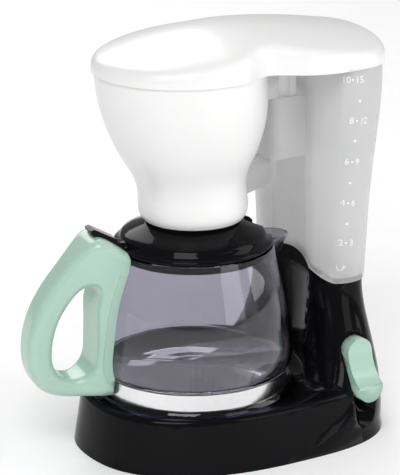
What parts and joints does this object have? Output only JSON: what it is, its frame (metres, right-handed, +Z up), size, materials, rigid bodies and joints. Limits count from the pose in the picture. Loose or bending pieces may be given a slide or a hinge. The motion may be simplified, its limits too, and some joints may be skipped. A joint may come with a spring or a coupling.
{
  "type": "toy coffee machine",
  "caption": "Toy drip coffee machine with a black base, a see-through tank, a white filter funnel, a hinged white lid, a sliding switch and a clear jug with a mint handle.",
  "frame": {"origin": "on the table under the middle of the jug's seat", "axes": "+X from the jug towards the column, +Y towards the side away from the switch, +Z up"},
  "size_m": [0.2108, 0.1336, 0.2322],
  "materials": {
    "black_plastic": "polished",
    "black_cover": "satin",
    "white_plastic": "glossy",
    "mint_plastic": "glossy",
    "tank_plastic": "frosted",
    "smoke_clear": "clear, polished",
    "purple_clear": "clear, polished",
    "mirror_silver": "mirrored",
    "steel": "plain"
  },
  "bodies": {
    "machine": {"base_shell": "black_plastic", "base_cover": "black_cover", "cover_screws": "steel", "water_tank": "tank_plastic", "tank_screws": "steel", "filter_holder": "white_plastic", "lid_pin": "steel", "jug_body": "smoke_clear", "jug_band": "mirror_silver", "jug_foot": "purple_clear", "jug_lid": "black_plastic", "jug_lid_pin": "steel", "jug_handle": "mint_plastic"},
    "lid": {"top_lid": "white_plastic"},
    "switch": {"switch_knob": "mint_plastic", "slide_plate": "white_plastic", "switch_screw": "steel"}
  },
  "joints": [
    {"name": "lid_hinge", "type": "hinge", "parent": "machine", "child": "lid", "pos_m": [0.1095, 0, 0.207], "axis": [0, 1, 0], "range_deg": [0, 100]},
    {"name": "switch_slide", "type": "slide", "parent": "machine", "child": "switch", "axis": [0, 0, -1], "range_m": [0, 0.012]}
  ]
}
